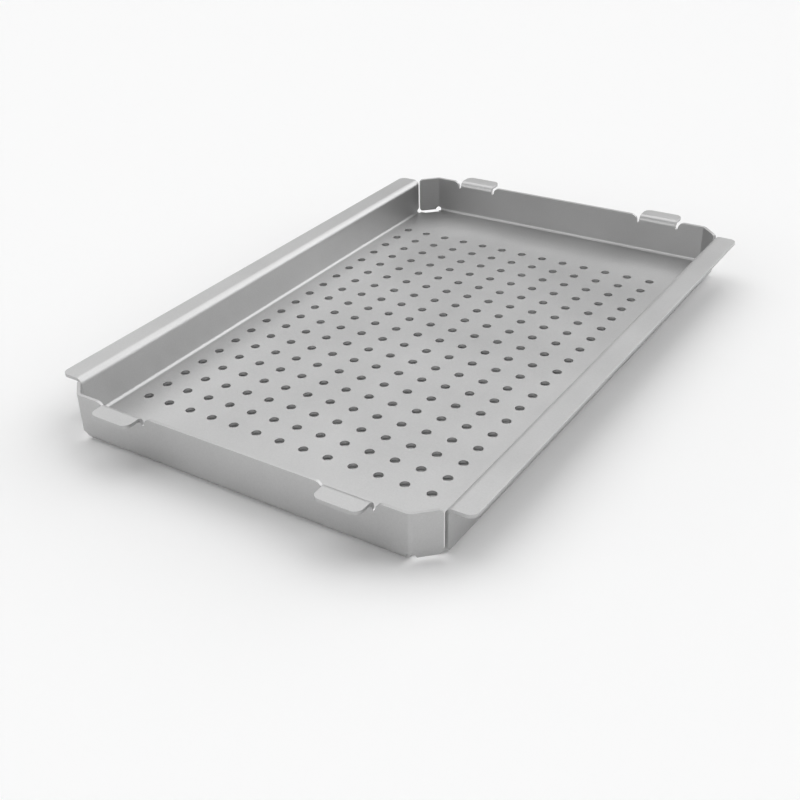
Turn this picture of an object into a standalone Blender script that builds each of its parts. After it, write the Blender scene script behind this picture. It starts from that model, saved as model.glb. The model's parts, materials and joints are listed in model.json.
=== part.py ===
"""Autoclave tray: one sheet of anodised aluminium, perforated, cut and folded.

Built as the real tray is made: a flat blank is cut and punched, the blank gets
its thickness, and then every fold is made with its real bend radius. X runs
across the tray, Y along it, and the tray rests on Z = 0.
"""
from math import cos, floor, hypot, pi, radians, sin, tan

import bmesh
import bpy
from mathutils import Vector
from mathutils.geometry import delaunay_2d_cdt

# Driving dimensions in metres
SHEET = 0.0015             # thickness of the aluminium sheet
BODY_WIDTH = 0.178         # over the outer faces of the long walls
BODY_LENGTH = 0.291        # over the outer faces of the short walls
HEIGHT = 0.0206            # underside of the floor to the top of the walls
BEND_RADIUS = 0.0015       # inside radius of every fold

FLANGE_REACH = 0.010       # flange past the outer face of a long wall
FLANGE_LENGTH = 0.271      # long walls and their flanges, end to end
FLANGE_CORNER = 0.0035     # rounding of the four flange corners

TAB_REACH = 0.0085         # tab past the outer face of a short wall
TAB_WIDTH = 0.020
TAB_SPACING = 0.1084       # between the middles of the two tabs of a wall
TAB_CORNER = 0.0033
SLIT_WIDTH = 0.0013        # saw cut on each side of a tab
SLIT_DEPTH = 0.0040        # from the top of the wall to the slit's round end
WALL_CORNER = 0.0033       # rounding of the wall beside a slit

FLAP_INSET = 0.0095        # fold line of a corner flap in from the outer face of the long wall
FLAP_LENGTH = 0.012        # fold line to free edge of a corner flap
FLAP_ANGLE = radians(45)
FLAP_CORNER = 0.0018
FLAP_LIFT = 0.0002         # lower edge of a flap above the floor's upper face

CORNER_CUT = 0.0100        # leg of the chamfer on each floor corner
RELIEF_CLEAR = 0.0001      # relief holes past the bend zones that they clear

HOLE_DIAMETER = 0.0041
HOLE_PITCH = 0.012
SIDE_BORDER = 0.0075       # least plain floor beside the outer holes
END_BORDER = 0.030         # least plain floor past the end rows

# Shape of the curves, as numbers of straight pieces
BEND_STEPS = 4
FLAP_STEPS = 3
CORNER_STEPS = 4
RELIEF_STEPS = 12
HOLE_STEPS = 8

NEUTRAL_LINE = 0.45        # unstretched layer, as a share of the thickness
WELD = 1e-7                # points of the blank closer than this are one

# Lengths on the flat blank, measured from the middle of the tray
quarter_bend = (BEND_RADIUS + NEUTRAL_LINE * SHEET) * pi / 2
flap_bend = (BEND_RADIUS + NEUTRAL_LINE * SHEET) * FLAP_ANGLE
outer_radius = BEND_RADIUS + SHEET
depth = HEIGHT - SHEET
floor_x = BODY_WIDTH / 2 - outer_radius
floor_y = BODY_LENGTH / 2 - outer_radius

rise = depth - BEND_RADIUS - outer_radius      # straight wall between two bends
bend_out = quarter_bend + rise                 # start of the outward bend
flat_lip = bend_out + quarter_bend             # start of a flange or a tab
flange_edge = floor_x + flat_lip + FLANGE_REACH - BEND_RADIUS
tab_edge = floor_y + flat_lip + TAB_REACH - BEND_RADIUS
wall_foot = floor_y + quarter_bend
wall_top = wall_foot + depth - BEND_RADIUS
wall_end = FLANGE_LENGTH / 2

tab_inner = TAB_SPACING / 2 - TAB_WIDTH / 2
tab_outer = TAB_SPACING / 2 + TAB_WIDTH / 2
slit_radius = SLIT_WIDTH / 2
slit_floor = wall_top - SLIT_DEPTH + slit_radius

flap_tangent = outer_radius * tan(FLAP_ANGLE / 2)
flap_start = BODY_WIDTH / 2 - FLAP_INSET - flap_tangent
flap_flat = flap_start + flap_bend
flap_edge = flap_flat + FLAP_LENGTH - flap_tangent
flap_foot = wall_foot - BEND_RADIUS + FLAP_LIFT
relief_radius = hypot(quarter_bend, flap_bend) / 2 + RELIEF_CLEAR


def arc(x, y, radius, start, end, steps):
    """Points on an arc, both ends among them."""
    turn = (end - start) / steps
    return [(x + radius * cos(start + i * turn), y + radius * sin(start + i * turn))
            for i in range(steps + 1)]


def disc(x, y, radius, steps):
    """A round punch, with a flat side towards each axis."""
    half = pi / steps
    return arc(x, y, radius, half, 2 * pi + half, steps)[:-1]


def panel(x0, y0, x1, y1, corners=(0, 0, 0, 0)):
    """A rectangle whose corners may be round: low left, low right, high right, high left."""
    spots = ((x0, y0, 1, 1, pi), (x1, y0, -1, 1, 1.5 * pi), (x1, y1, -1, -1, 0), (x0, y1, 1, -1, pi / 2))
    outline = []
    for (x, y, inward_x, inward_y, start), radius in zip(spots, corners):
        if radius > 0:
            outline += arc(x + inward_x * radius, y + inward_y * radius, radius,
                           start, start + pi / 2, CORNER_STEPS)
        else:
            outline.append((x, y))
    return outline


def quadrants(outline):
    """The outline and its mirror images, all counter-clockwise."""
    for sx in (1, -1):
        for sy in (1, -1):
            points = [(sx * x, sy * y) for x, y in outline]
            yield points if sx * sy > 0 else points[::-1]


def blank_panels():
    """Outlines whose sum is the blank before anything is cut out of it."""
    cut = floor_x + floor_y - CORNER_CUT
    chamfered_floor = [(0, 0), (floor_x, 0), (floor_x, wall_end), (cut - wall_end, wall_end),
                       (cut - floor_y, floor_y), (0, floor_y)]
    long_wall = panel(floor_x, 0, flange_edge, wall_end, (0, 0, FLANGE_CORNER, 0))
    short_wall = panel(0, floor_y, flap_start, slit_floor)
    middle = panel(0, slit_floor, tab_inner - SLIT_WIDTH, wall_top, (0, 0, WALL_CORNER, 0))
    tab = panel(tab_inner, slit_floor, tab_outer, tab_edge, (0, 0, TAB_CORNER, TAB_CORNER))
    shoulder = panel(tab_outer + SLIT_WIDTH, slit_floor, flap_start, wall_top, (0, 0, 0, WALL_CORNER))
    flap = panel(flap_start, flap_foot, flap_edge, wall_top, (0, FLAP_CORNER, FLAP_CORNER, 0))
    pieces = (chamfered_floor, long_wall, short_wall, middle, tab, shoulder, flap)
    return [outline for piece in pieces for outline in quadrants(piece)]


def cut_outs():
    """Outlines of everything that is cut or punched out of the blank."""
    wall_relief = disc(floor_x + quarter_bend / 2, wall_end, relief_radius, RELIEF_STEPS)
    flap_relief = disc(flap_start + flap_bend / 2, floor_y + quarter_bend / 2, relief_radius, RELIEF_STEPS)
    slits = [disc(x, slit_floor, slit_radius, HOLE_STEPS)
             for x in (tab_inner - slit_radius, tab_outer + slit_radius)]
    pieces = (wall_relief, flap_relief, *slits)
    return [outline for piece in pieces for outline in quadrants(piece)] + perforation()


def perforation():
    """A straight grid of round holes, centred on the floor."""
    columns = floor(2 * (floor_x - SIDE_BORDER) / HOLE_PITCH) + 1
    rows = floor(2 * (floor_y - END_BORDER) / HOLE_PITCH) + 1
    return [disc((i - (columns - 1) / 2) * HOLE_PITCH, (j - (rows - 1) / 2) * HOLE_PITCH,
                 HOLE_DIAMETER / 2, HOLE_STEPS)
            for i in range(columns) for j in range(rows)]


def spread(start, width, steps):
    """Positions of the lines that divide one bend zone."""
    return [start + width * i / steps for i in range(steps + 1)]


def bend_lines():
    """Lines along which the blank is creased, as pairs of points."""
    lines = []
    for x in spread(floor_x, quarter_bend, BEND_STEPS) + spread(floor_x + bend_out, quarter_bend, BEND_STEPS):
        lines.append(((x, 0), (x, wall_end)))
    for y in spread(floor_y, quarter_bend, BEND_STEPS):
        lines.append(((0, y), (flap_start, y)))
    for y in spread(floor_y + bend_out, quarter_bend, BEND_STEPS):
        lines.append(((tab_inner, y), (tab_outer, y)))
    for x in spread(flap_start, flap_bend, FLAP_STEPS):
        lines.append(((x, wall_foot), (x, wall_top)))
    return [line for piece in lines for line in quadrants(piece)]


def cut_blank():
    """Triangles of the flat blank: inside some panel and outside every cut-out."""
    panels, cuts, lines = blank_panels(), cut_outs(), bend_lines()
    points, faces, edges = [], [], []
    for outline in panels + cuts:
        faces.append(range(len(points), len(points) + len(outline)))
        points += outline
    for line in lines:
        edges.append((len(points), len(points) + 1))
        points += line
    found = delaunay_2d_cdt([Vector(p) for p in points], edges, [list(f) for f in faces], 1, WELD)
    corners, triangles, sources = found[0], found[2], found[5]
    kept = [t for t, source in zip(triangles, sources) if source and max(source) < len(panels)]
    return corners, kept


def profile(along, layer, lipped):
    """Place across a wall: reach past the floor and height over the floor's upper face.

    along is the distance on the blank past the floor, layer the depth under
    the blank's upper face. A lipped wall bends outwards again at its top.
    """
    radius = BEND_RADIUS + layer
    if along <= quarter_bend:
        angle = along / quarter_bend * pi / 2
        return radius * sin(angle), BEND_RADIUS - radius * cos(angle)
    if not lipped or along <= bend_out:
        return radius, BEND_RADIUS + along - quarter_bend
    radius = outer_radius - layer
    centre, top = outer_radius + BEND_RADIUS, BEND_RADIUS + rise
    angle = min((along - bend_out) / quarter_bend, 1) * pi / 2
    past = max(along - flat_lip, 0)
    return centre - radius * cos(angle) + past, top + radius * sin(angle)


def turn_flap(along, layer):
    """Place in plan of a corner flap: along the short wall and back from its inner face."""
    angle = min((along - flap_start) / flap_bend, 1) * FLAP_ANGLE
    past = max(along - flap_flat, 0)
    radius = BEND_RADIUS + layer
    return (flap_start + radius * sin(angle) + past * cos(angle),
            BEND_RADIUS - radius * cos(angle) + past * sin(angle))


def fold(point):
    """The folded place of a point of the thick flat blank."""
    x, y, layer = abs(point.x), abs(point.y), -point.z
    sx, sy = (1 if point.x >= 0 else -1), (1 if point.y >= 0 else -1)
    if x > floor_x and y <= wall_end + WELD:
        reach, height = profile(x - floor_x, layer, True)
        x = floor_x + reach
    elif y > floor_y and x > flap_start:
        height = BEND_RADIUS + y - wall_foot
        x, back = turn_flap(x, layer)
        y = floor_y + BEND_RADIUS - back
    elif y > floor_y:
        is_tab = tab_inner - slit_radius < x < tab_outer + slit_radius
        reach, height = profile(y - floor_y, layer, is_tab)
        y = floor_y + reach
    else:
        height = -layer
    return Vector((sx * x, sy * y, SHEET + height))


def fold_sheet():
    """The tray's mesh: the blank, made thick and folded."""
    corners, triangles = cut_blank()
    sheet = bmesh.new()
    verts = [sheet.verts.new((p.x, p.y, 0)) for p in corners]
    for triangle in triangles:
        sheet.faces.new([verts[i] for i in triangle])
    bmesh.ops.delete(sheet, geom=[v for v in sheet.verts if not v.link_faces], context="VERTS")
    under = bmesh.ops.extrude_face_region(sheet, geom=sheet.faces[:], use_keep_orig=True)["geom"]
    for vert in (v for v in under if isinstance(v, bmesh.types.BMVert)):
        vert.co.z = -SHEET
    for vert in sheet.verts:
        vert.co = fold(vert.co)
    bmesh.ops.recalc_face_normals(sheet, faces=sheet.faces[:])
    mesh = bpy.data.meshes.new("tray")
    sheet.to_mesh(mesh)
    sheet.free()
    return mesh


def satin_aluminium():
    """Blasted and anodised aluminium, pale and even."""
    material = bpy.data.materials.new("satin_aluminium")
    material.use_nodes = True
    shader = material.node_tree.nodes["Principled BSDF"]
    shader.inputs["Base Color"].default_value = (0.70, 0.70, 0.70, 1)
    shader.inputs["Metallic"].default_value = 1.0
    shader.inputs["Roughness"].default_value = 0.42
    return material


def build():
    """Empty the scene and model the tray."""
    for old in list(bpy.data.objects):
        bpy.data.objects.remove(old, do_unlink=True)
    mesh = fold_sheet()
    mesh.materials.append(satin_aluminium())
    mesh.shade_smooth()
    mesh.set_sharp_from_angle(angle=radians(30))
    tray = bpy.data.objects.new("tray", mesh)
    bpy.context.scene.collection.objects.link(tray)


build()
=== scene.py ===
"""Autoclave tray: the folded and perforated aluminium sheet, its finish and its studio."""
import json
from math import cos, floor, hypot, pi, radians, sin, tan
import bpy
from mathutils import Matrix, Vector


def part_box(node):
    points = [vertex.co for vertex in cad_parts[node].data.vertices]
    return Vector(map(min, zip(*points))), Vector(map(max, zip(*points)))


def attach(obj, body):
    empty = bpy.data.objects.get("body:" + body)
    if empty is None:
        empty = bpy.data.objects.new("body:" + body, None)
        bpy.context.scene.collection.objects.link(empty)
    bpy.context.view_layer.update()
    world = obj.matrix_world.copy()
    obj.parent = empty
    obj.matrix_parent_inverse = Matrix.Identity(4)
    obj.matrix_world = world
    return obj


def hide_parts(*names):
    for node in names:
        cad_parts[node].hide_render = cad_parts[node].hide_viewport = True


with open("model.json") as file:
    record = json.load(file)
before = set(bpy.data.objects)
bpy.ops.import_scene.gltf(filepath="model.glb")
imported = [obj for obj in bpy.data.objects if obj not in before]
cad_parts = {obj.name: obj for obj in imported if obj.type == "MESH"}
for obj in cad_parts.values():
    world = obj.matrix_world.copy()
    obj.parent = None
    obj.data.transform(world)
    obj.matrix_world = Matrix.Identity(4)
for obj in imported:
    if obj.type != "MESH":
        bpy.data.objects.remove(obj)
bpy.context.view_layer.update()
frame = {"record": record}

from types import SimpleNamespace

import bpy
from bpy.props import FloatProperty, FloatVectorProperty, IntProperty, PointerProperty
from mathutils import Euler, Vector
from mathutils.geometry import delaunay_2d_cdt

bl_info = {
    "name": "Autoclave tray",
    "version": (1, 0, 0),
    "blender": (4, 5, 0),
    "location": "View3D > Sidebar > Tray",
    "description": "Folds a perforated aluminium tray from its flat blank and lights it",
    "category": "Object",
}

INSIDE_FACES = 1           # setting of delaunay_2d_cdt that keeps only what lies inside a face
WELD = 1e-7                # points of the blank closer than this are one
MERGE = 1e-6               # points of neighbouring hole cells closer than this are one
PROBE = 1e-5               # step along a normal that shows how the fold turns it
END_MARGIN = 0.0001        # metal this little past the end of a fold still folds with it
TAB_MARGIN = 0.0003        # metal this little beside a tab still folds with it
SMOOTH_TURN = 0.9          # cosine of half a corner's turn, above which its cut edge is smooth
MITRE = 0.6                # least cosine by which a corner lengthens the rounding's step
LEAST_AREA = 0.1           # share of its area that a triangle keeps beside a rounded edge
CUT = "cut_edge"           # attribute of the faces that the cutting tools made
OUTWARD = "outward"        # attribute with the direction out of the sheet before folding

low_corner, high_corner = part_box("tray")
mount_places = {mount["name"]: Vector(mount["pos_m"]) for mount in frame["record"]["mounts"]}


def length(name, default, description):
    """A size in metres that a user may change."""
    return FloatProperty(name=name, default=default, description=description, min=0.0,
                         precision=5, subtype="DISTANCE", unit="LENGTH")


def count(name, default, description):
    """A number of straight pieces."""
    return IntProperty(name=name, default=default, description=description, min=1)


def number(name, default, description, highest=1.0):
    """A plain number from nought upwards."""
    return FloatProperty(name=name, default=default, description=description, min=0.0, max=highest)


def angle(name, default, description):
    """An angle, kept in radians and shown in degrees."""
    return FloatProperty(name=name, default=radians(default), description=description,
                         subtype="ANGLE", unit="ROTATION")


def colour(name, default, description):
    """A linear colour."""
    return FloatVectorProperty(name=name, default=default, description=description,
                               subtype="COLOR", size=3, min=0.0, max=1.0)


class TRAY_PG_sizes(bpy.types.PropertyGroup):
    """Sizes of the sheet, the folds and the holes."""

    sheet: length("Sheet", mount_places["floor_upper_face"].z, "Thickness of the sheet")
    height: length("Height", high_corner.z - low_corner.z, "Underside to the top of the walls")
    overall_width: length("Width", high_corner.x - low_corner.x, "Across both flanges")
    overall_length: length("Length", high_corner.y - low_corner.y, "Over the tabs")
    bend_radius: length("Bend radius", 0.0015, "Inside radius of every fold")
    edge_round: length("Edge rounding", 0.00012, "Rounding that blasting leaves on each cut edge")
    flange_reach: length("Flange reach", 0.010, "Flange past the outer face of a long wall")
    flange_length: length("Flange length", 0.271, "Long walls and flanges, end to end")
    flange_corner: length("Flange corner", 0.0035, "Rounding of the flange corners")
    tab_reach: length("Tab reach", 0.0085, "Tab past the outer face of a short wall")
    tab_width: length("Tab width", 0.020, "Width of a tab")
    tab_spacing: length("Tab spacing", 0.1084, "Between the middles of the two tabs of a wall")
    tab_corner: length("Tab corner", 0.0033, "Rounding of the tab corners")
    slit_width: length("Slit width", 0.0013, "Width of the cut on each side of a tab")
    slit_depth: length("Slit depth", 0.0040, "Top of the wall to the round end of a slit")
    wall_corner: length("Wall corner", 0.0033, "Rounding of the wall beside a slit")
    flap_inset: length("Flap inset", 0.0095, "Fold of a corner flap in from the long wall's face")
    flap_length: length("Flap length", 0.012, "Fold line to free edge of a corner flap")
    flap_angle: angle("Flap angle", 45, "Turn of a corner flap")
    flap_corner: length("Flap corner", 0.0018, "Rounding of a flap's free corners")
    flap_lift: length("Flap lift", 0.0002, "Lower edge of a flap above the floor")
    corner_cut: length("Corner cut", 0.0100, "Leg of the chamfer on each floor corner")
    relief_clear: length("Relief clearance", 0.0001, "Relief holes past the bend zones they clear")
    hole_diameter: length("Hole", 0.0041, "Diameter of the floor's holes")
    hole_pitch: length("Pitch", 0.012, "Between the middles of two holes")
    side_border: length("Side border", 0.0075, "Least plain floor beside the outer holes")
    end_border: length("End border", 0.030, "Least plain floor past the end rows")
    neutral_line: number("Neutral line", 0.45, "Unstretched layer, as a share of the thickness")
    bend_steps: count("Bend steps", 12, "Straight pieces across a fold")
    flap_steps: count("Flap steps", 8, "Straight pieces across the fold of a flap")
    corner_steps: count("Corner steps", 8, "Straight pieces in each rounded corner")
    round_steps: count("Rounding steps", 2, "Straight pieces across a rounded cut edge")
    hole_sides: count("Hole sides", 16, "Sides of each hole, a multiple of eight")


def layout(s):
    """Lengths on the flat blank, measured from the middle of the tray."""
    b = SimpleNamespace()
    body_width = s.overall_width - 2 * s.flange_reach
    body_length = s.overall_length - 2 * s.tab_reach
    neutral_radius = s.bend_radius + s.neutral_line * s.sheet
    outer_radius = s.bend_radius + s.sheet
    depth = s.height - s.sheet

    b.quarter = neutral_radius * pi / 2
    b.floor_x = body_width / 2 - outer_radius
    b.floor_y = body_length / 2 - outer_radius
    b.bend_out = b.quarter + depth - s.bend_radius - outer_radius
    b.flat_lip = b.bend_out + b.quarter
    b.flange_edge = b.floor_x + b.flat_lip + s.flange_reach - s.bend_radius
    b.tab_edge = b.floor_y + b.flat_lip + s.tab_reach - s.bend_radius
    b.wall_foot = b.floor_y + b.quarter
    b.wall_top = b.wall_foot + depth - s.bend_radius
    b.wall_end = s.flange_length / 2

    b.tab_inner = (s.tab_spacing - s.tab_width) / 2
    b.tab_outer = (s.tab_spacing + s.tab_width) / 2
    b.slit_radius = s.slit_width / 2
    b.slit_floor = b.wall_top - s.slit_depth + b.slit_radius

    flap_tangent = outer_radius * tan(s.flap_angle / 2)
    b.flap_bend = neutral_radius * s.flap_angle
    b.flap_start = body_width / 2 - s.flap_inset - flap_tangent
    b.flap_flat = b.flap_start + b.flap_bend
    b.flap_edge = b.flap_flat + s.flap_length - flap_tangent
    b.flap_foot = b.wall_foot - s.bend_radius + s.flap_lift
    b.relief_radius = hypot(b.quarter, b.flap_bend) / 2 + s.relief_clear

    b.columns = floor(2 * (b.floor_x - s.side_border) / s.hole_pitch) + 1
    b.rows = floor(2 * (b.floor_y - s.end_border) / s.hole_pitch) + 1
    b.field_x = b.columns * s.hole_pitch / 2
    b.field_y = b.rows * s.hole_pitch / 2
    return b


def arc(x, y, radius, start, end, steps):
    """Points on an arc, both ends among them."""
    turn = (end - start) / steps
    return [(x + radius * cos(start + i * turn), y + radius * sin(start + i * turn))
            for i in range(steps + 1)]


def panel(x0, y0, x1, y1, radii=(0, 0, 0, 0), steps=1):
    """A rectangle whose corners may be round: low left, low right, high right, high left."""
    corners = ((x0, y0, 1, 1, pi), (x1, y0, -1, 1, 1.5 * pi), (x1, y1, -1, -1, 0),
               (x0, y1, 1, -1, pi / 2))
    outline = []
    for (x, y, inward_x, inward_y, start), radius in zip(corners, radii):
        if radius > 0:
            outline += arc(x + inward_x * radius, y + inward_y * radius, radius,
                           start, start + pi / 2, steps)
        else:
            outline.append((x, y))
    return outline


def quadrants(outline):
    """The outline and its mirror images, all counter-clockwise."""
    for sx in (1, -1):
        for sy in (1, -1):
            points = [(sx * x, sy * y) for x, y in outline]
            yield points if sx * sy > 0 else points[::-1]


def field_outline(s, b):
    """The edge of the perforated field, with the same points as the hole cells beside it."""
    eighth = s.hole_sides // 8
    half = [tan(i * pi / 4 / eighth) * s.hole_pitch / 2 for i in range(-eighth, eighth)]
    side_x = [(i - (b.columns - 1) / 2) * s.hole_pitch + offset
              for i in range(b.columns) for offset in half]
    side_y = [(i - (b.rows - 1) / 2) * s.hole_pitch + offset
              for i in range(b.rows) for offset in half]
    return ([(x, -b.field_y) for x in side_x] + [(b.field_x, y) for y in side_y]
            + [(-x, b.field_y) for x in side_x] + [(-b.field_x, -y) for y in side_y])


def blank_outlines(s, b):
    """Outlines whose sum is the blank, and outlines of what is cut out of it."""
    cut = b.floor_x + b.floor_y - s.corner_cut
    steps = s.corner_steps
    chamfered_floor = [(0, 0), (b.floor_x, 0), (b.floor_x, b.wall_end),
                       (cut - b.wall_end, b.wall_end), (cut - b.floor_y, b.floor_y),
                       (0, b.floor_y)]
    panels = (
        chamfered_floor,
        panel(b.floor_x, 0, b.flange_edge, b.wall_end, (0, 0, s.flange_corner, 0), steps),
        panel(0, b.floor_y, b.flap_start, b.slit_floor),
        panel(0, b.slit_floor, b.tab_inner - s.slit_width, b.wall_top,
              (0, 0, s.wall_corner, 0), steps),
        panel(b.tab_inner, b.slit_floor, b.tab_outer, b.tab_edge,
              (0, 0, s.tab_corner, s.tab_corner), steps),
        panel(b.tab_outer + s.slit_width, b.slit_floor, b.flap_start, b.wall_top,
              (0, 0, 0, s.wall_corner), steps),
        panel(b.flap_start, b.flap_foot, b.flap_edge, b.wall_top,
              (0, s.flap_corner, s.flap_corner, 0), steps),
    )
    round_holes = [(b.floor_x + b.quarter / 2, b.wall_end, b.relief_radius),
                   (b.flap_start + b.flap_bend / 2, b.floor_y + b.quarter / 2, b.relief_radius),
                   (b.tab_inner - b.slit_radius, b.slit_floor, b.slit_radius),
                   (b.tab_outer + b.slit_radius, b.slit_floor, b.slit_radius)]
    punches = [arc(x, y, radius, 0, 2 * pi, 4 * steps)[:-1] for x, y, radius in round_holes]
    return ([outline for piece in panels for outline in quadrants(piece)],
            [outline for piece in punches for outline in quadrants(piece)] + [field_outline(s, b)])


def spread(start, width, steps):
    """Positions of the lines that divide one bend zone."""
    return [start + width * i / steps for i in range(steps + 1)]


def bend_lines(s, b):
    """Lines along which the blank is creased, as pairs of points."""
    lines = []
    for bend in (b.floor_x, b.floor_x + b.bend_out):
        for x in spread(bend, b.quarter, s.bend_steps):
            lines.append(((x, 0), (x, b.wall_end)))
    for y in spread(b.floor_y, b.quarter, s.bend_steps):
        lines.append(((0, y), (b.flap_start, y)))
    for y in spread(b.floor_y + b.bend_out, b.quarter, s.bend_steps):
        lines.append(((b.tab_inner, y), (b.tab_outer, y)))
    for x in spread(b.flap_start, b.flap_bend, s.flap_steps):
        lines.append(((x, b.wall_foot), (x, b.wall_top)))
    return [line for piece in lines for line in quadrants(piece)]


def cut_blank(s, b):
    """Points and triangles of the flat blank round the perforated field."""
    panels, cuts = blank_outlines(s, b)
    points, faces, edges = [], [], []
    for outline in panels + cuts:
        faces.append(list(range(len(points), len(points) + len(outline))))
        points += outline
    for line in bend_lines(s, b):
        edges.append((len(points), len(points) + 1))
        points += line
    places, _, triangles, _, _, sources = delaunay_2d_cdt(
        [Vector(p) for p in points], edges, faces, INSIDE_FACES, WELD)
    kept = [t for t, source in zip(triangles, sources) if source and max(source) < len(panels)]
    used = sorted({i for t in kept for i in t})
    new = {old: i for i, old in enumerate(used)}
    return [places[i] for i in used], [[new[i] for i in t] for t in kept]


def rim(points, triangles, b):
    """The outline's directed edges, where their ends face the metal, and each point's step in."""
    directed = {(t[i], t[(i + 1) % 3]) for t in triangles for i in range(3)}

    def on_field(i):
        return abs(points[i].x) < b.field_x + WELD and abs(points[i].y) < b.field_y + WELD

    edges = sorted((i, j) for i, j in directed
                   if (j, i) not in directed and not (on_field(i) and on_field(j)))
    own, beside = {}, {}
    for i, j in edges:
        along = (points[j] - points[i]).normalized()
        own[i, j] = Vector((-along.y, along.x))
        for end in (i, j):
            beside.setdefault(end, []).append(own[i, j])
    middle = {i: sum(sides, Vector((0, 0))).normalized() for i, sides in beside.items()}
    inset = {i: way / max(way.dot(beside[i][0]), MITRE) for i, way in middle.items()}
    facing = {edge: [middle[i] if middle[i].dot(way) > SMOOTH_TURN else way for i in edge]
              for edge, way in own.items()}
    return edges, facing, inset


def inset_points(points, triangles, inset, distance):
    """Each rim point's place further in, held back where a triangle would turn over."""
    def area(place, t):
        return (place[t[1]] - place[t[0]]).cross(place[t[2]] - place[t[0]])

    share_of = dict.fromkeys(inset, 1.0)
    crowded = True
    while crowded:
        moved = [p + inset[i] * distance * share_of[i] if i in inset else p
                 for i, p in enumerate(points)]
        crowded = {i for t in triangles if area(moved, t) < LEAST_AREA * area(points, t)
                   for i in t if i in inset}
        for i in crowded:
            share_of[i] /= 2
    return {i: inset[i] * share_of[i] for i in inset}


def flat_mesh(s, b):
    """The blank round the perforated field: flat, thick and with rounded cut edges."""
    points, triangles = cut_blank(s, b)
    edges, facing, inset = rim(points, triangles, b)
    inset = inset_points(points, triangles, inset, s.edge_round)
    quarter_turn = [i / s.round_steps * pi / 2 for i in range(s.round_steps + 1)]
    # Each level of a cut edge: how far its normal points out and up, and its depth in the sheet.
    above = [(sin(a), cos(a), s.edge_round * (1 - cos(a))) for a in quarter_turn]
    levels = above + [(out, -up, s.sheet - depth) for out, up, depth in above[::-1]]
    verts, rings = [], []
    for level, (out, up, depth) in enumerate(levels):
        ring = {}
        for i in range(len(points)) if level in (0, len(levels) - 1) else sorted(inset):
            place = points[i] + inset.get(i, Vector((0, 0))) * s.edge_round * (1 - out)
            ring[i] = len(verts)
            verts.append((place.x, place.y, -depth))
        rings.append(ring)
    faces = [[rings[0][i] for i in t] for t in triangles]
    faces += [[rings[-1][i] for i in reversed(t)] for t in triangles]
    normals = [(0, 0, 1)] * 3 * len(triangles) + [(0, 0, -1)] * 3 * len(triangles)
    flat = len(faces)
    for k in range(len(levels) - 1):
        for i, j in edges:
            faces.append([rings[k][i], rings[k + 1][i], rings[k + 1][j], rings[k][j]])
            near, far = facing[i, j]
            normals += [(-way.x * levels[m][0], -way.y * levels[m][0], levels[m][1])
                        for way, m in ((near, k), (near, k + 1), (far, k + 1), (far, k))]

    mesh = bpy.data.meshes.new("tray_sheet")
    mesh.from_pydata(verts, [], faces)
    outward = mesh.attributes.new(OUTWARD, "FLOAT_VECTOR", "CORNER")
    outward.data.foreach_set("vector", [c for n in normals for c in n])
    is_cut = mesh.attributes.new(CUT, "BOOLEAN", "FACE")
    is_cut.data.foreach_set("value", [i >= flat for i in range(len(faces))])
    return mesh


class Field:
    """A number that changes over a mesh, so that a node tree can be written as arithmetic."""

    def __init__(self, tree, source):
        self.tree, self.source = tree, source

    def math(self, operation, *others):
        return add_math(self.tree, operation, self, *others)

    def __add__(self, other):
        return self.math("ADD", other)

    def __radd__(self, other):
        return self.math("ADD", other)

    def __sub__(self, other):
        return self.math("SUBTRACT", other)

    def __rsub__(self, other):
        return add_math(self.tree, "SUBTRACT", other, self)

    def __mul__(self, other):
        return self.math("MULTIPLY", other)

    def __truediv__(self, other):
        return self.math("DIVIDE", other)

    def __rtruediv__(self, other):
        return add_math(self.tree, "DIVIDE", other, self)

    def __gt__(self, other):
        return self.math("GREATER_THAN", other)

    def at_least(self, other):
        return self.math("MAXIMUM", other)

    def at_most(self, other):
        return self.math("MINIMUM", other)


def connect(tree, value, socket):
    """Feeds a socket from a field or another socket, or sets it to a plain value."""
    if isinstance(value, Field):
        tree.links.new(value.source, socket)
    elif isinstance(value, bpy.types.NodeSocket):
        tree.links.new(value, socket)
    else:
        socket.default_value = value


def add_node(tree, kind, inputs=(), **settings):
    """A new node with its settings made, and its inputs fed by name or number."""
    node = tree.nodes.new(kind)
    for name, value in settings.items():
        setattr(node, name, value)
    for key, value in dict(inputs).items():
        connect(tree, value, node.inputs[key])
    return node


def add_math(tree, operation, *values):
    """One Math node as a field."""
    node = add_node(tree, "ShaderNodeMath", dict(enumerate(values)), operation=operation)
    return Field(tree, node.outputs[0])


def choose(tree, test, when_true, when_false):
    """One of two fields, by a third that is nought or one."""
    return when_false + test * (when_true - when_false)


def new_tree(name, kind, inputs, outputs):
    """An empty node group with its sockets, and its inputs and outputs as sockets by name."""
    tree = bpy.data.node_groups.new(name, kind)
    for way, sockets in (("INPUT", inputs), ("OUTPUT", outputs)):
        for socket_name, socket_type, *default in sockets:
            socket = tree.interface.new_socket(socket_name, in_out=way, socket_type=socket_type)
            if default:
                socket.default_value = default[0]
    given = tree.nodes.new("NodeGroupInput").outputs
    result = tree.nodes.new("NodeGroupOutput").inputs
    return tree, given, result


FOLD_SIZES = ("Floor Half Width", "Floor Half Length", "Wall End", "Bend Radius", "Sheet",
              "Bend Length", "Lip Start", "Tab Inner", "Tab Outer", "Flap Start",
              "Flap Bend Length", "Flap Angle")


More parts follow.
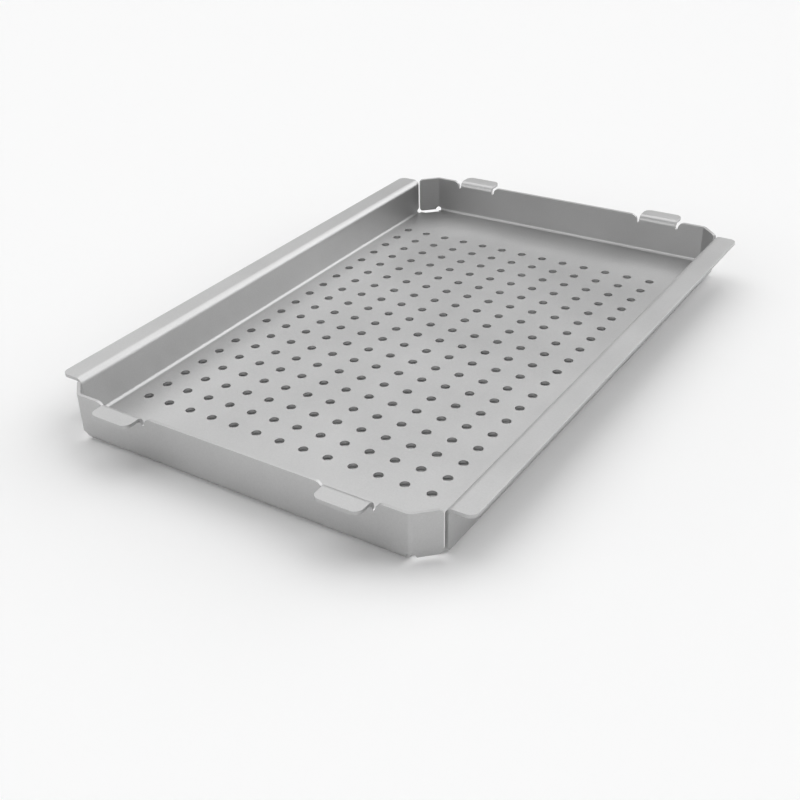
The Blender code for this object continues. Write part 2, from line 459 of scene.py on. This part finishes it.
def fold_tree():
    """Node group: a point of the thick flat blank to its place on the folded tray."""
    sizes = [(name, "NodeSocketFloat") for name in FOLD_SIZES]
    tree, given, result = new_tree(
        "Fold point", "GeometryNodeTree",
        [("Point", "NodeSocketVector"), *sizes], [("Point", "NodeSocketVector")])
    (floor_x, floor_y, wall_end, radius, sheet, quarter, lip_start, tab_inner, tab_outer,
     flap_start, flap_bend, flap_angle) = (Field(tree, given[name]) for name in FOLD_SIZES)
    parts = add_node(tree, "ShaderNodeSeparateXYZ", {0: given["Point"]})
    x, y, z = (Field(tree, socket) for socket in parts.outputs)
    across, beyond = x.math("ABSOLUTE"), y.math("ABSOLUTE")

    # Which fold carries the point: a long wall, a tab's lip or a corner flap.
    long_side = (across > floor_x) * (1 - (beyond > wall_end + END_MARGIN))
    tab = (across > tab_inner - TAB_MARGIN) * (1 - (across > tab_outer + TAB_MARGIN))
    flap = (across > flap_start) * (beyond > floor_y + END_MARGIN) * (1 - long_side)
    lipped = long_side.at_least(tab)
    along = choose(tree, long_side, across - floor_x, beyond - floor_y)

    # The sheet turns up at the floor's edge and, where it has a lip, out again at the top.
    inner = radius - z
    outer = radius + sheet + z
    first = choose(tree, flap, 1.0, (along / quarter).at_least(0).at_most(1)) * (pi / 2)
    past_lip = (along - lip_start).at_least(0) * lipped
    second = (past_lip / quarter).at_most(1) * (pi / 2)
    straight = choose(tree, flap, along - quarter, (along - quarter).at_least(0) - past_lip)
    reach = (inner * first.math("SINE") + outer * (1 - second.math("COSINE"))
             + (past_lip - quarter).at_least(0))
    height = radius - inner * first.math("COSINE") + straight + outer * second.math("SINE")

    # A flap stands as the wall does and turns about an upright line.
    turned = (across - flap_start).at_least(0) * flap
    turn = (turned / flap_bend).at_most(1) * flap_angle
    past_turn = (turned - flap_bend).at_least(0)
    sideways = inner * turn.math("SINE") + past_turn * turn.math("COSINE")
    back = inner * (1 - turn.math("COSINE")) + past_turn * turn.math("SINE")

    new_across = choose(tree, long_side, floor_x + reach, across - turned + sideways)
    new_beyond = choose(tree, long_side, beyond, beyond.at_most(floor_y) + reach - back)
    folded = add_node(tree, "ShaderNodeCombineXYZ", {
        "X": new_across * x.math("SIGN"), "Y": new_beyond * y.math("SIGN"), "Z": height + sheet})
    connect(tree, folded.outputs[0], result["Point"])
    return tree


def ring_tree():
    """Node group: puts the open edge of a hole cell on a square or a circle, with its normals."""
    tree, given, result = new_tree(
        "Hole ring", "GeometryNodeTree",
        [("Mesh", "NodeSocketGeometry"), ("Edge", "NodeSocketBool"), ("Radius", "NodeSocketFloat"),
         ("Depth", "NodeSocketFloat"), ("Out", "NodeSocketFloat"), ("Up", "NodeSocketFloat"),
         ("Square", "NodeSocketFloat")],
        [("Mesh", "NodeSocketGeometry")])
    here = add_node(tree, "GeometryNodeInputPosition").outputs[0]
    parts = add_node(tree, "ShaderNodeSeparateXYZ", {0: here})
    x, y = Field(tree, parts.outputs[0]), Field(tree, parts.outputs[1])
    reach = (x * x + y * y).math("SQRT")
    ray_x, ray_y = x / reach, y / reach
    longest = ray_x.math("ABSOLUTE").at_least(ray_y.math("ABSOLUTE"))
    size = Field(tree, given["Radius"]) / choose(tree, Field(tree, given["Square"]), longest, 1.0)
    place = add_node(tree, "ShaderNodeCombineXYZ",
                     {"X": ray_x * size, "Y": ray_y * size, "Z": Field(tree, given["Depth"]) * -1})
    moved = add_node(tree, "GeometryNodeSetPosition", {
        "Geometry": given["Mesh"], "Selection": given["Edge"], "Position": place.outputs[0]})
    out = Field(tree, given["Out"]) * -1
    facing = add_node(tree, "ShaderNodeCombineXYZ",
                      {"X": ray_x * out, "Y": ray_y * out, "Z": given["Up"]})
    noted = add_node(tree, "GeometryNodeStoreNamedAttribute", {
        "Geometry": moved.outputs[0], "Selection": given["Edge"], "Name": OUTWARD,
        "Value": facing.outputs[0]}, data_type="FLOAT_VECTOR", domain="POINT")
    connect(tree, noted.outputs[0], result["Mesh"])
    return tree


CELL_SIZES = ("Hole Diameter", "Hole Pitch", "Sheet", "Edge Rounding")


def cell_tree():
    """Node group: one square cell of the floor with a round hole and rounded rims."""
    sizes = [(name, "NodeSocketFloat") for name in CELL_SIZES]
    tree, given, result = new_tree(
        "Hole cell", "GeometryNodeTree",
        [*sizes, ("Hole Sides", "NodeSocketInt")], [("Mesh", "NodeSocketGeometry")])
    diameter, pitch, sheet, rounding = (Field(tree, given[name]) for name in CELL_SIZES)
    hole = diameter / 2
    # Each ring: radius, depth, its normal inwards and upwards, and 1 where it is a square.
    rings = ((pitch / 2, 0.0, 0.0, 1.0, 1.0), (hole + rounding, 0.0, 0.0, 1.0, 0.0),
             (hole, rounding, 1.0, 0.0, 0.0), (hole, sheet - rounding, 1.0, 0.0, 0.0),
             (hole + rounding, sheet, 0.0, -1.0, 0.0), (pitch / 2, sheet, 0.0, -1.0, 1.0))
    circle = add_node(tree, "GeometryNodeMeshCircle",
                      {"Vertices": given["Hole Sides"], "Radius": 1.0}, fill_type="NONE")
    mesh, edge = circle.outputs["Mesh"], True
    group = ring_tree()
    for i, (radius, depth, out, up, square) in enumerate(rings):
        if i > 0:
            in_hole = 1 < i < len(rings) - 1
            grown = add_node(tree, "GeometryNodeExtrudeMesh",
                             {"Mesh": mesh, "Selection": edge, "Offset Scale": 0.0}, mode="EDGES")
            mesh, edge = grown.outputs["Mesh"], grown.outputs["Top"]
            mesh = add_node(tree, "GeometryNodeStoreNamedAttribute", {
                "Geometry": mesh, "Selection": grown.outputs["Side"], "Name": CUT,
                "Value": in_hole}, data_type="BOOLEAN", domain="FACE").outputs[0]
        ring = add_node(tree, "GeometryNodeGroup", node_tree=group)
        for name, value in (("Mesh", mesh), ("Edge", edge), ("Radius", radius), ("Depth", depth),
                            ("Out", out), ("Up", up), ("Square", square)):
            connect(tree, value, ring.inputs[name])
        mesh = ring.outputs["Mesh"]
    outside = add_node(tree, "GeometryNodeFlipFaces", {"Mesh": mesh})
    connect(tree, outside.outputs[0], result["Mesh"])
    return tree


def named(tree, name):
    """A vector attribute of the mesh, read by its name."""
    attribute = add_node(tree, "GeometryNodeInputNamedAttribute", {"Name": name},
                         data_type="FLOAT_VECTOR")
    return attribute.outputs[0]


def tray_tree():
    """Geometry tree: the blank with its grid of holes, folded into the tray."""
    cell_sizes = [(name, "NodeSocketFloat") for name in CELL_SIZES]
    fold_sizes = [(name, "NodeSocketFloat") for name in FOLD_SIZES if name not in CELL_SIZES]
    counts = [(name, "NodeSocketInt") for name in ("Columns", "Rows", "Hole Sides")]
    materials = [(name, "NodeSocketMaterial") for name in ("Sheet Material", "Cut Edge Material")]
    tree, given, result = new_tree(
        "Folded tray", "GeometryNodeTree",
        [("Blank", "NodeSocketGeometry"), *cell_sizes, *fold_sizes, *counts, *materials],
        [("Tray", "NodeSocketGeometry")])

    pitch, columns, rows = (Field(tree, given[name]) for name in ("Hole Pitch", "Columns", "Rows"))
    grid = add_node(tree, "GeometryNodeMeshGrid", {
        "Size X": (columns - 1) * pitch, "Size Y": (rows - 1) * pitch,
        "Vertices X": columns, "Vertices Y": rows})
    cell = add_node(tree, "GeometryNodeGroup", node_tree=cell_tree())
    for name in (*CELL_SIZES, "Hole Sides"):
        connect(tree, given[name], cell.inputs[name])
    plain = add_node(tree, "GeometryNodeSetMaterial",
                     {"Geometry": cell.outputs["Mesh"], "Material": given["Sheet Material"]})
    holes = add_node(tree, "GeometryNodeInstanceOnPoints",
                     {"Points": grid.outputs["Mesh"], "Instance": plain.outputs[0]})
    whole = add_node(tree, "GeometryNodeJoinGeometry")
    connect(tree, holes.outputs[0], whole.inputs[0])
    connect(tree, given["Blank"], whole.inputs[0])
    real = add_node(tree, "GeometryNodeRealizeInstances", {0: whole.outputs[0]})
    welded = add_node(tree, "GeometryNodeMergeByDistance",
                      {"Geometry": real.outputs[0], "Distance": MERGE})
    smooth = add_node(tree, "GeometryNodeSetShadeSmooth",
                      {"Geometry": welded.outputs[0], "Shade Smooth": True})

    # The fold also moves a point just ahead along the normal, which shows how it turns the normal.
    folding = fold_tree()
    here = add_node(tree, "GeometryNodeInputPosition").outputs[0]
    step = add_node(tree, "ShaderNodeVectorMath", {0: named(tree, OUTWARD), "Scale": PROBE},
                    operation="SCALE")
    ahead = add_node(tree, "ShaderNodeVectorMath", {0: here, 1: step.outputs[0]}, operation="ADD")
    folds = []
    for point in (here, ahead.outputs[0]):
        fold = add_node(tree, "GeometryNodeGroup", node_tree=folding)
        connect(tree, point, fold.inputs["Point"])
        for name in FOLD_SIZES:
            connect(tree, given[name], fold.inputs[name])
        folds.append(fold.outputs["Point"])
    lead = add_node(tree, "ShaderNodeVectorMath", {0: folds[1], 1: folds[0]}, operation="SUBTRACT")
    facing = add_node(tree, "ShaderNodeVectorMath", {0: lead.outputs[0]}, operation="NORMALIZE")
    marked = add_node(tree, "GeometryNodeStoreNamedAttribute", {
        "Geometry": smooth.outputs[0], "Name": OUTWARD, "Value": facing.outputs[0]},
        data_type="FLOAT_VECTOR", domain="CORNER")
    folded = add_node(tree, "GeometryNodeSetPosition",
                      {"Geometry": marked.outputs[0], "Position": folds[0]})
    shaded = add_node(tree, "GeometryNodeSetMeshNormal", mode="FREE", domain="CORNER")
    connect(tree, folded.outputs[0], shaded.inputs["Mesh"])
    connect(tree, named(tree, OUTWARD), shaded.inputs["Custom Normal"])
    painted = add_node(tree, "GeometryNodeSetMaterial",
                       {"Geometry": shaded.outputs[0], "Material": given["Sheet Material"]})
    cut = add_node(tree, "GeometryNodeInputNamedAttribute", {"Name": CUT}, data_type="BOOLEAN")
    edged = add_node(tree, "GeometryNodeSetMaterial", {
        "Geometry": painted.outputs[0], "Selection": cut.outputs[0],
        "Material": given["Cut Edge Material"]})
    connect(tree, edged.outputs[0], result["Tray"])
    return tree


def set_inputs(modifier, values):
    """Sets a geometry modifier's inputs by the names of its sockets."""
    sockets = {item.name: item.identifier for item in modifier.node_group.interface.items_tree
               if item.in_out == "INPUT"}
    for name, value in values.items():
        modifier[sockets[name]] = value


def freeze(obj):
    """Makes the evaluated shape the object's own mesh and drops its modifiers."""
    depsgraph = bpy.context.evaluated_depsgraph_get()
    mesh = bpy.data.meshes.new_from_object(
        obj.evaluated_get(depsgraph), preserve_all_data_layers=True, depsgraph=depsgraph)
    for index in reversed(range(len(mesh.materials))):
        if mesh.materials[index] is None:
            mesh.materials.pop(index=index)
    for name in (OUTWARD, CUT):
        mesh.attributes.remove(mesh.attributes[name])
    obj.modifiers.clear()
    obj.data = mesh


PITS_PER_GRAIN = 0.6       # blasted pits across the width of one grain
PIT_SHARE = 0.4            # share of the pits in the height, beside the fine grain
CLOUD_GAIN = 1.4           # how much more the clouds change the tone than the fine grain does
MIDDLE = 0.5               # value about which both noises swing


def grain_tree():
    """Shader group: the even grain of blasted and anodised metal, and its faint clouds."""
    tree, given, result = new_tree(
        "Blasted grain", "ShaderNodeTree",
        [("Grain Size", "NodeSocketFloat"), ("Cloud Size", "NodeSocketFloat"),
         ("Tone", "NodeSocketColor"), ("Tone Change", "NodeSocketFloat"),
         ("Roughness", "NodeSocketFloat"), ("Roughness Change", "NodeSocketFloat")],
        [("Color", "NodeSocketColor"), ("Roughness", "NodeSocketFloat"),
         ("Height", "NodeSocketFloat")])
    place = add_node(tree, "ShaderNodeTexCoord").outputs["Object"]
    grain_size, cloud_size = Field(tree, given["Grain Size"]), Field(tree, given["Cloud Size"])
    fine = add_node(tree, "ShaderNodeTexNoise", {
        "Vector": place, "Scale": 1 / grain_size, "Detail": 2.0, "Roughness": 0.6})
    pits = add_node(tree, "ShaderNodeTexVoronoi", {
        "Vector": place, "Scale": PITS_PER_GRAIN / grain_size})
    clouds = add_node(tree, "ShaderNodeTexNoise", {
        "Vector": place, "Scale": 1 / cloud_size, "Detail": 3.0, "Roughness": 0.55})
    grain, cloud = Field(tree, fine.outputs[0]), Field(tree, clouds.outputs[0])
    height = grain * (1 - PIT_SHARE) + Field(tree, pits.outputs["Distance"]) * PIT_SHARE
    swing = (cloud - MIDDLE) * CLOUD_GAIN + (grain - MIDDLE)
    gain = 1 + swing * given["Tone Change"]
    tinted = add_node(tree, "ShaderNodeVectorMath", {0: given["Tone"], "Scale": gain},
                      operation="SCALE")
    rough = Field(tree, given["Roughness"]) + swing * given["Roughness Change"]
    connect(tree, tinted.outputs[0], result["Color"])
    connect(tree, rough, result["Roughness"])
    connect(tree, height, result["Height"])
    return tree


def metal(name, grain, tone, roughness, finish):
    """A blasted aluminium material."""
    material = bpy.data.materials.new(name)
    material.use_nodes = True
    tree = material.node_tree
    shader = tree.nodes["Principled BSDF"]
    shader.inputs["Metallic"].default_value = 1.0
    surface = add_node(tree, "ShaderNodeGroup", node_tree=grain)
    for socket, value in (("Grain Size", finish.grain_size), ("Cloud Size", finish.cloud_size),
                          ("Tone", (*tone, 1)), ("Tone Change", finish.tone_change),
                          ("Roughness", roughness), ("Roughness Change", finish.roughness_change)):
        connect(tree, value, surface.inputs[socket])
    bump = add_node(tree, "ShaderNodeBump",
                    {"Height": surface.outputs["Height"], "Distance": finish.grain_depth})
    connect(tree, surface.outputs["Color"], shader.inputs["Base Color"])
    connect(tree, surface.outputs["Roughness"], shader.inputs["Roughness"])
    connect(tree, bump.outputs[0], shader.inputs["Normal"])
    return material


class TRAY_PG_finish(bpy.types.PropertyGroup):
    """Colour and grain of the blasted and anodised aluminium."""

    tone: colour("Tone", (0.50, 0.50, 0.50), "Reflected colour of the sheet")
    roughness: number("Roughness", 0.44, "How far the blasting spreads a reflection")
    cut_tone: colour("Cut edge tone", (0.48, 0.48, 0.48), "Reflected colour of the cut edges")
    cut_roughness: number("Cut edge roughness", 0.44, "Roughness of the cut edges")
    grain_size: length("Grain", 0.0006, "Size of the blasted grain")
    grain_depth: length("Grain depth", 0.000036, "Depth of the blasted grain")
    cloud_size: length("Clouds", 0.05, "Size of the anodised layer's faint clouds")
    tone_change: number("Tone change", 0.18, "Cloudiness of the anodised layer")
    roughness_change: number("Roughness change", 0.05, "Change of the roughness with the clouds")


class TRAY_PG_stage(bpy.types.PropertyGroup):
    """Floor, lamps and camera."""

    floor_tone: colour("Floor", (0.96, 0.96, 0.96), "Colour of the floor and its upturned rim")
    floor_roughness: number("Floor roughness", 0.9, "Roughness of the floor")
    floor_radius: length("Floor radius", 2.4, "Flat part of the floor")
    floor_drop: length("Floor drop", 0.0005, "Gap under the tray, as sheet never lies quite flat")
    rim_radius: length("Rim radius", 0.5, "Radius of the floor's upturned rim")
    rim_turn: angle("Rim turn", 80, "How far the floor's rim turns up")
    horizon_level: number("Horizon", 1.0, "Light from all round, up to the horizon's height", 10)
    horizon_height: angle("Horizon height", 12, "Height to which the light from all round is full")
    horizon_fade: angle("Horizon fade", 25, "Height from which only the light from above is left")
    world_level: number("World", 0.08, "Light from above", 10)
    lens: FloatProperty(name="Lens", default=50.452, description="Focal length on a 36 mm sensor",
                        subtype="DISTANCE_CAMERA", unit="CAMERA")
    camera_place: FloatVectorProperty(
        name="Camera", default=(0.24215, -0.40357, 0.24668), size=3,
        description="Place of the camera", subtype="TRANSLATION", unit="LENGTH")
    camera_turn: FloatVectorProperty(
        name="Camera turn", default=tuple(radians(a) for a in (57.9274, 2.2418, 34.0479)), size=3,
        description="Turn of the camera", subtype="EULER", unit="ROTATION")
    camera_shift: FloatVectorProperty(
        name="Camera shift", default=(0.05693, 0.03532), size=2,
        description="Share of the frame by which the view is off the axis")


SENSOR = 36                # width of the camera's sensor in millimetres
VIEW_REACH = (0.01, 20.0)  # nearest and farthest that the camera sees, in metres
LAMPS = (                  # name; azimuth, elevation and spread in degrees; level in W/m2
    ("back_right_low", 150, 15, 70, 0.39),
    ("back_right", 150, 35, 70, 1.48),
    ("back_left_high", 240, 60, 70, 1.45),
    ("front_left_low", 330, 15, 70, 1.00),
    ("front_right_low", 60, 15, 70, 0.34),
)


class TRAY_OT_fold_sheet(bpy.types.Operator):
    """Cuts the blank, punches its holes and folds it into the tray"""

    bl_idname = "tray.fold_sheet"
    bl_label = "Fold the tray"

    def execute(self, context):
        s, f = context.scene.tray_sizes, context.scene.tray_finish
        b = layout(s)
        grain = grain_tree()
        sheet_metal = metal("blasted_sheet", grain, f.tone, f.roughness, f)
        cut_metal = metal("blasted_cut_edge", grain, f.cut_tone, f.cut_roughness, f)
        tray = bpy.data.objects.new("tray_sheet", flat_mesh(s, b))
        tray.data.materials.append(sheet_metal)
        context.scene.collection.objects.link(tray)
        fold = tray.modifiers.new("Fold", "NODES")
        fold.node_group = tray_tree()
        set_inputs(fold, {
            "Hole Diameter": s.hole_diameter, "Hole Pitch": s.hole_pitch, "Sheet": s.sheet,
            "Edge Rounding": s.edge_round, "Floor Half Width": b.floor_x,
            "Floor Half Length": b.floor_y, "Wall End": b.wall_end,
            "Bend Radius": s.bend_radius, "Bend Length": b.quarter,
            "Lip Start": b.bend_out, "Tab Inner": b.tab_inner, "Tab Outer": b.tab_outer,
            "Flap Start": b.flap_start, "Flap Bend Length": b.flap_bend, "Flap Angle": s.flap_angle,
            "Columns": b.columns, "Rows": b.rows, "Hole Sides": s.hole_sides,
            "Sheet Material": sheet_metal, "Cut Edge Material": cut_metal})
        freeze(tray)
        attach(tray, "root")
        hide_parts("tray")
        return {"FINISHED"}


def floor_mesh(radius, rim, turn, drop, segments=96, rings=4, steps=10):
    """A round floor whose rim turns up."""
    profile = [(radius * i / rings, -drop) for i in range(1, rings)]
    profile += [(radius + rim * sin(a), rim * (1 - cos(a)) - drop) for a in spread(0, turn, steps)]
    verts = [(0.0, 0.0, -drop)]
    verts += [(r * cos(i * 2 * pi / segments), r * sin(i * 2 * pi / segments), z)
              for r, z in profile for i in range(segments)]
    faces = [(0, 1 + i, 1 + (i + 1) % segments) for i in range(segments)]
    for k in range(len(profile) - 1):
        near, far = 1 + k * segments, 1 + (k + 1) * segments
        faces += [(near + i, far + i, far + (i + 1) % segments, near + (i + 1) % segments)
                  for i in range(segments)]
    mesh = bpy.data.meshes.new("studio_floor")
    mesh.from_pydata(verts, [], faces)
    mesh.shade_smooth()
    return mesh


def add_lamp(scene, name, azimuth, elevation, spread_angle, level):
    """A far softbox: azimuth is where it stands round the tray, 0 at -Y and 90 at +X."""
    data = bpy.data.lights.new(name, "SUN")
    data.energy = level
    data.angle = radians(spread_angle)
    lamp = bpy.data.objects.new(name, data)
    lamp.rotation_euler = Euler((radians(90 - elevation), 0, radians(azimuth)))
    scene.collection.objects.link(lamp)


class TRAY_OT_build_stage(bpy.types.Operator):
    """Lays the floor, hangs the lamps and places the camera"""

    bl_idname = "tray.build_stage"
    bl_label = "Build the studio"

    def execute(self, context):
        scene, st = context.scene, context.scene.tray_stage
        material = bpy.data.materials.new("studio_floor")
        material.use_nodes = True
        shader = material.node_tree.nodes["Principled BSDF"]
        shader.inputs["Base Color"].default_value = (*st.floor_tone, 1)
        shader.inputs["Roughness"].default_value = st.floor_roughness
        shader.inputs["Specular IOR Level"].default_value = 0.0
        ground = bpy.data.objects.new(
            "studio_floor", floor_mesh(st.floor_radius, st.rim_radius, st.rim_turn, st.floor_drop))
        ground.data.materials.append(material)
        scene.collection.objects.link(ground)

        world = bpy.data.worlds.new("studio")
        world.use_nodes = True
        tree = world.node_tree
        # The light is full up to the horizon's height and fades to the light from above.
        way = add_node(tree, "ShaderNodeTexCoord").outputs["Generated"]
        height = add_node(tree, "ShaderNodeSeparateXYZ", {0: way}).outputs["Z"]
        fade = add_node(tree, "ShaderNodeMapRange", {
            "Value": height, "From Min": sin(st.horizon_height), "From Max": sin(st.horizon_fade),
            "To Min": st.horizon_level, "To Max": st.world_level}, interpolation_type="SMOOTHSTEP")
        background = tree.nodes["Background"]
        background.inputs["Color"].default_value = (1, 1, 1, 1)
        connect(tree, fade.outputs["Result"], background.inputs["Strength"])
        scene.world = world
        for lamp in LAMPS:
            add_lamp(scene, *lamp)

        data = bpy.data.cameras.new("photo_view")
        data.sensor_width = SENSOR
        data.lens = st.lens
        data.shift_x, data.shift_y = st.camera_shift
        data.clip_start, data.clip_end = VIEW_REACH
        camera = bpy.data.objects.new("photo_view", data)
        camera.location = st.camera_place
        camera.rotation_euler = st.camera_turn
        scene.collection.objects.link(camera)
        scene.camera = camera
        scene.view_settings.view_transform = "Standard"
        return {"FINISHED"}


class TRAY_PT_panel(bpy.types.Panel):
    """Sizes, finish and studio of the tray"""

    bl_idname = "TRAY_PT_panel"
    bl_label = "Autoclave tray"
    bl_space_type = "VIEW_3D"
    bl_region_type = "UI"
    bl_category = "Tray"

    def draw(self, context):
        column = self.layout.column(align=True)
        for settings, operator in (("tray_sizes", None), ("tray_finish", "tray.fold_sheet"),
                                   ("tray_stage", "tray.build_stage")):
            group = getattr(context.scene, settings)
            for name in group.__annotations__:
                column.prop(group, name)
            if operator:
                column.operator(operator)


CLASSES = (TRAY_PG_sizes, TRAY_PG_finish, TRAY_PG_stage, TRAY_OT_fold_sheet, TRAY_OT_build_stage,
           TRAY_PT_panel)


def register():
    """Makes the classes and the scene's settings known."""
    for cls in CLASSES:
        bpy.utils.register_class(cls)
    bpy.types.Scene.tray_sizes = PointerProperty(type=TRAY_PG_sizes)
    bpy.types.Scene.tray_finish = PointerProperty(type=TRAY_PG_finish)
    bpy.types.Scene.tray_stage = PointerProperty(type=TRAY_PG_stage)


def unregister():
    """Takes them back."""
    del bpy.types.Scene.tray_stage
    del bpy.types.Scene.tray_finish
    del bpy.types.Scene.tray_sizes
    for cls in reversed(CLASSES):
        bpy.utils.unregister_class(cls)


def main():
    """Registers the add-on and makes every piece."""
    register()
    bpy.ops.tray.fold_sheet()
    bpy.ops.tray.build_stage()


if __name__ == "__main__":
    main()
